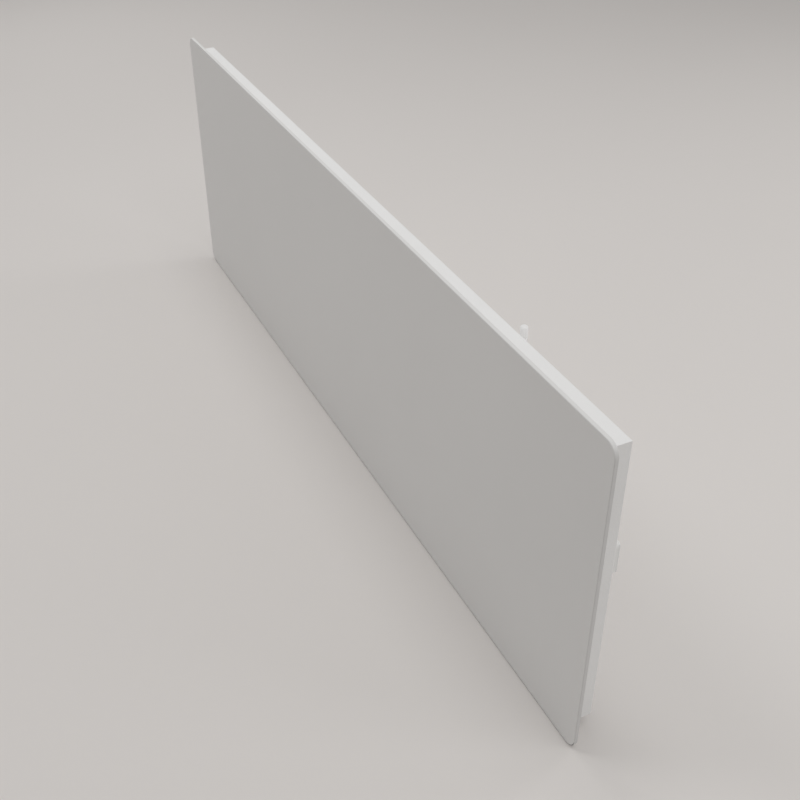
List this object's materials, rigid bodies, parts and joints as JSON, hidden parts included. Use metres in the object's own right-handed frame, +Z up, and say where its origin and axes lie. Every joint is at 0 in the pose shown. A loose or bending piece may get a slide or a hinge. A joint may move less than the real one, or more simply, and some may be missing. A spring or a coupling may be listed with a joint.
{
  "type": "infrared panel heater",
  "caption": "Slim wall-hung infrared panel heater: white round-cornered front panel, folded casing, rear control box with folding antenna, hung on a slotted wall rail.",
  "frame": {"origin": "on the wall plane, midway along the panel, at the height of the row of wall screws", "axes": "+X along the panel to the right seen from the front, +Y into the wall, +Z up"},
  "size_m": [1.2, 0.06, 0.405],
  "materials": {
    "glass_white": "satin white back-printed toughened glass",
    "casing_white": "fine matt white powder coat",
    "zinc_steel": "zinc-plated steel strip",
    "screw_zinc": "bright zinc plate",
    "plated_brass": "plain brass",
    "foil_metal": "plain rolled foil",
    "film_amber": "amber carrier film",
    "fibre_board": "pressed mineral fibre",
    "silicone_grey": "cured silicone",
    "cutout_black": "moulded phenolic",
    "lead_brown": "silicone-covered lead",
    "lead_blue": "silicone-covered lead",
    "lead_green": "silicone-covered lead",
    "rubber_grey": "moulded rubber",
    "box_white": "fine spark-eroded white plastic",
    "antenna_white": "smooth white plastic sleeve",
    "board_green": "lacquered circuit board",
    "terminal_grey": "moulded nylon",
    "relay_black": "moulded plastic",
    "light_clear": "clear light guide",
    "button_grey": "grey plastic",
    "switch_white": "white moulded plastic",
    "gland_grey": "light grey nylon"
  },
  "bodies": {
    "wall_bracket": {"wall_rail": "zinc_steel"},
    "heater": {"front_panel": "glass_white", "heating_film": "film_amber", "heating_track": "foil_metal", "track_tabs": "plated_brass", "thermal_cutouts": "cutout_black", "cutout_jumpers": "lead_brown", "bond_bead": "silicone_grey", "reflector_foil": "foil_metal", "insulation_board": "fibre_board", "frame_top": "zinc_steel", "frame_bottom": "zinc_steel", "frame_left": "zinc_steel", "frame_right": "zinc_steel", "rear_casing": "casing_white", "casing_screws": "screw_zinc", "earth_stud": "plated_brass", "earth_nuts": "plated_brass", "line_lead": "lead_brown", "neutral_lead": "lead_blue", "earth_lead": "lead_green", "wire_grommet": "rubber_grey", "control_base": "box_white", "control_cover": "box_white", "control_screws": "screw_zinc", "cover_screws": "screw_zinc", "control_board": "board_green", "terminal_block": "terminal_grey", "terminal_screws": "screw_zinc", "board_relay": "relay_black", "board_supply": "relay_black", "board_capacitor": "cutout_black", "board_button_switch": "relay_black", "board_light": "light_clear", "status_light": "light_clear", "switch_body": "switch_white", "switch_leads": "lead_brown", "gland_body": "gland_grey", "gland_seal": "rubber_grey", "gland_nut": "gland_grey", "gland_locknut": "gland_grey", "antenna_socket": "box_white", "antenna_pin": "screw_zinc", "antenna_locknut": "plated_brass", "hanger_left": "zinc_steel", "hanger_right": "zinc_steel", "hanger_rivets": "screw_zinc", "wall_buffer_left": "rubber_grey", "wall_buffer_right": "rubber_grey", "buffer_screws": "screw_zinc"},
    "antenna": {"antenna_rod": "antenna_white"},
    "mains_rocker": {"switch_rocker": "switch_white"},
    "pairing_key": {"pairing_button": "button_grey"}
  },
  "joints": [
    {"name": "lift_off", "type": "slide", "parent": "wall_bracket", "child": "heater", "axis": [0, 0, 1], "range_m": [0, 0.014]},
    {"name": "antenna_fold", "type": "hinge", "parent": "heater", "child": "antenna", "pos_m": [0.3785, -0.015, -0.049], "axis": [0, 1, 0], "range_deg": [0, 90]},
    {"name": "switch_rock", "type": "hinge", "parent": "heater", "child": "mains_rocker", "pos_m": [0.5606, -0.015, -0.091], "axis": [0, -1, 0], "range_deg": [0, 18]},
    {"name": "button_press", "type": "slide", "parent": "heater", "child": "pairing_key", "axis": [-1, 0, 0], "range_m": [0, 0.0012], "stiffness_N_per_m": 800}
  ]
}
